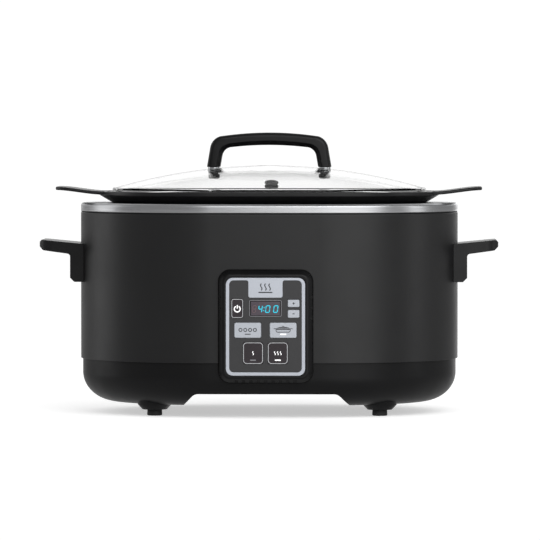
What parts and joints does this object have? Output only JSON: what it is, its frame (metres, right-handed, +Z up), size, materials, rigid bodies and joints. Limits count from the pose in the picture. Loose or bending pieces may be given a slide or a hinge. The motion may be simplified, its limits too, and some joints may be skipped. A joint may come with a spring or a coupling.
{
  "type": "slow cooker",
  "caption": "Oval countertop slow cooker: painted shell with a steel collar, lift-out pot with end tabs, domed glass lid, side handles and a front push-button panel.",
  "frame": {"origin": "on the resting surface, under the middle of the housing", "axes": "+Z up, +X to the right of a person facing the panel, the panel faces -Y"},
  "size_m": [0.4696, 0.2938, 0.2862],
  "materials": {
    "shell_paint": "satin charcoal paint on steel sheet",
    "collar_steel": "brushed stainless steel",
    "seal_rubber": "black silicone",
    "well_metal": "aluminised sheet, dull",
    "base_plastic": "fine-textured black plastic",
    "handle_plastic": "fine-textured black plastic",
    "bezel_plastic": "satin black plastic",
    "foot_rubber": "black rubber",
    "fastener_steel": "zinc-plated steel",
    "trim_silver": "satin silver finish",
    "plate_grey": "satin dark grey film",
    "key_silver": "satin silver finish",
    "key_dark": "satin dark grey with a pale outline",
    "lens_black": "clear black window",
    "display_body": "white display block",
    "switch_body": "moulded switch bodies",
    "board_green": "green circuit board",
    "board_brown": "brown circuit board",
    "cable_grey": "flat grey cable",
    "plate_aluminium": "cast, machined top",
    "element_steel": "heat-darkened steel tube",
    "terminal_steel": "plated pins",
    "blanket_fibre": "glass-fibre felt",
    "sensor_steel": "stainless cap",
    "cutoff_brass": "plated thermostat can",
    "relay_blue": "blue relay case",
    "transformer_tape": "yellow tape over the winding",
    "capacitor_sleeve": "dark sleeve",
    "lead_silicone": "red silicone sleeve",
    "pot_coating": "cast aluminium with a black non-stick coating",
    "lid_glass": "clear tempered glass",
    "washer_steel": "polished steel",
    "silicone_black": "black silicone"
  },
  "bodies": {
    "housing": {"outer_shell": "shell_paint", "rim_collar": "collar_steel", "shell_seal": "seal_rubber", "heating_well": "well_metal", "base_housing": "base_plastic", "tie_posts": "fastener_steel", "base_screws": "fastener_steel", "foot_front_left": "foot_rubber", "foot_front_right": "foot_rubber", "foot_rear_left": "foot_rubber", "foot_rear_right": "foot_rubber", "left_handle": "handle_plastic", "right_handle": "handle_plastic", "handle_screws": "fastener_steel", "handle_backing_plates": "fastener_steel", "panel_bezel": "bezel_plastic", "panel_trim": "trim_silver", "panel_plate": "plate_grey", "display_lens": "lens_black", "display_module": "display_body", "tact_switches": "switch_body", "control_board": "board_green", "control_board_screws": "fastener_steel", "ribbon_cable": "cable_grey", "heating_plate": "plate_aluminium", "heating_element": "element_steel", "element_terminals": "terminal_steel", "heat_reflector": "well_metal", "insulation_blanket": "blanket_fibre", "sensor_guide": "fastener_steel", "sensor_spring": "fastener_steel", "thermal_cutoff": "cutoff_brass", "power_board": "board_brown", "power_relay": "relay_blue", "power_transformer": "transformer_tape", "power_capacitors": "capacitor_sleeve", "power_board_screws": "fastener_steel", "heater_leads": "lead_silicone", "cord_gland": "foot_rubber"},
    "sensor": {"temperature_sensor": "sensor_steel"},
    "power_button": {"power_key": "key_dark"},
    "plus_button": {"plus_key": "key_silver"},
    "minus_button": {"minus_key": "key_silver"},
    "stove_button": {"stove_key": "key_silver"},
    "slow_cook_button": {"slow_cook_key": "key_silver"},
    "low_button": {"low_key": "key_dark"},
    "high_button": {"high_key": "key_dark"},
    "pot": {"cooking_pot": "pot_coating"},
    "lid": {"lid_glass": "lid_glass", "lid_handle": "handle_plastic", "lid_handle_washers": "washer_steel", "lid_handle_bosses": "silicone_black", "lid_handle_screws": "fastener_steel", "vent_grommet": "silicone_black"}
  },
  "joints": [
    {"name": "pot_lift", "type": "slide", "parent": "housing", "child": "pot", "axis": [0, 0, 1], "range_m": [0, 0.14]},
    {"name": "lid_lift", "type": "slide", "parent": "pot", "child": "lid", "axis": [0, 0, 1], "range_m": [0, 0.1]},
    {"name": "power_press", "type": "slide", "parent": "housing", "child": "power_button", "axis": [0, 1, 0], "range_m": [0, 0.0008], "stiffness_N_per_m": 600, "springref_m": -0.0005},
    {"name": "plus_press", "type": "slide", "parent": "housing", "child": "plus_button", "axis": [0, 1, 0], "range_m": [0, 0.0008], "stiffness_N_per_m": 600, "springref_m": -0.0005},
    {"name": "minus_press", "type": "slide", "parent": "housing", "child": "minus_button", "axis": [0, 1, 0], "range_m": [0, 0.0008], "stiffness_N_per_m": 600, "springref_m": -0.0005},
    {"name": "stove_press", "type": "slide", "parent": "housing", "child": "stove_button", "axis": [0, 1, 0], "range_m": [0, 0.0008], "stiffness_N_per_m": 600, "springref_m": -0.0005},
    {"name": "slow_cook_press", "type": "slide", "parent": "housing", "child": "slow_cook_button", "axis": [0, 1, 0], "range_m": [0, 0.0008], "stiffness_N_per_m": 600, "springref_m": -0.0005},
    {"name": "low_press", "type": "slide", "parent": "housing", "child": "low_button", "axis": [0, 1, 0], "range_m": [0, 0.0008], "stiffness_N_per_m": 600, "springref_m": -0.0005},
    {"name": "high_press", "type": "slide", "parent": "housing", "child": "high_button", "axis": [0, 1, 0], "range_m": [0, 0.0008], "stiffness_N_per_m": 600, "springref_m": -0.0005},
    {"name": "sensor_press", "type": "slide", "parent": "housing", "child": "sensor", "axis": [0, 0, 1], "range_m": [-0.003, 0], "stiffness_N_per_m": 500, "springref_m": 0.004, "deforming": ["sensor_spring"]}
  ]
}
